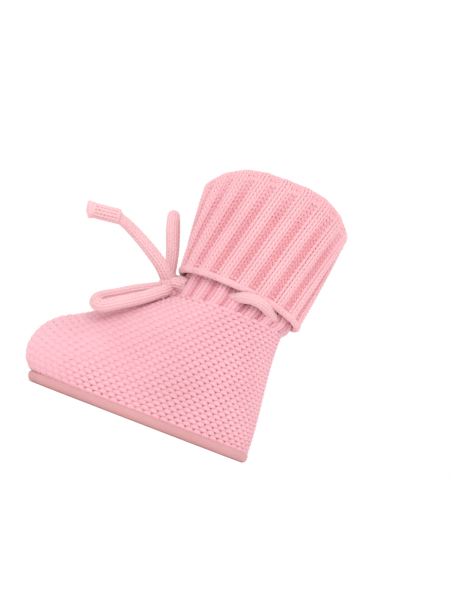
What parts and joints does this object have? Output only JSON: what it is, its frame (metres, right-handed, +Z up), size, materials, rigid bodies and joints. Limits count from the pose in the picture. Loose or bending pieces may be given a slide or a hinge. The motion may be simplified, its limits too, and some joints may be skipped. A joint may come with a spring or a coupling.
{
  "type": "knitted baby bootie",
  "caption": "Hand-knitted pink baby bootie with a garter-stitch foot, padded sole, turned-down ribbed cuff and a knitted tie in a bow.",
  "frame": {"origin": "centre of the bootie's footprint on the plane it stands on, at the bottom of the sole", "axes": "+Z up along the leg, -Y towards the toe, +X towards the side with the longer free tie end"},
  "size_m": [0.051, 0.0999, 0.106],
  "materials": {
    "sole_knit": "soft wool",
    "foot_knit": "soft wool",
    "cuff_knit": "soft wool",
    "tie_knit": "soft wool"
  },
  "bodies": {
    "bootie": {"sole": "sole_knit", "sole_welt": "sole_knit", "foot_upper": "foot_knit", "ankle_rib": "foot_knit", "leg_lining": "cuff_knit", "cuff": "cuff_knit", "cuff_fold": "cuff_knit", "cuff_edge": "cuff_knit", "ankle_tie": "tie_knit", "bow_knot": "tie_knit"},
    "loop_near": {"bow_loop_near": "tie_knit"},
    "loop_far": {"bow_loop_far": "tie_knit"},
    "tail_near": {"tie_tail_near": "tie_knit", "end_knot_near": "tie_knit"},
    "tail_far": {"tie_tail_far": "tie_knit", "end_knot_far": "tie_knit"}
  },
  "joints": [
    {"name": "loop_near_lift", "type": "hinge", "parent": "bootie", "child": "loop_near", "pos_m": [0, -0.008, 0.053], "axis": [-0.8601, -0.5101, 0], "range_deg": [0, 15]},
    {"name": "loop_far_lean", "type": "hinge", "parent": "bootie", "child": "loop_far", "pos_m": [0, -0.008, 0.053], "axis": [0, -1, 0], "range_deg": [0, 12]},
    {"name": "tail_near_swing", "type": "hinge", "parent": "bootie", "child": "tail_near", "pos_m": [0, -0.008, 0.053], "axis": [0, 0, 1], "range_deg": [-5, 25]},
    {"name": "tail_far_swing", "type": "hinge", "parent": "bootie", "child": "tail_far", "pos_m": [0, -0.008, 0.053], "axis": [0, 0, 1], "range_deg": [-11, 0]}
  ]
}
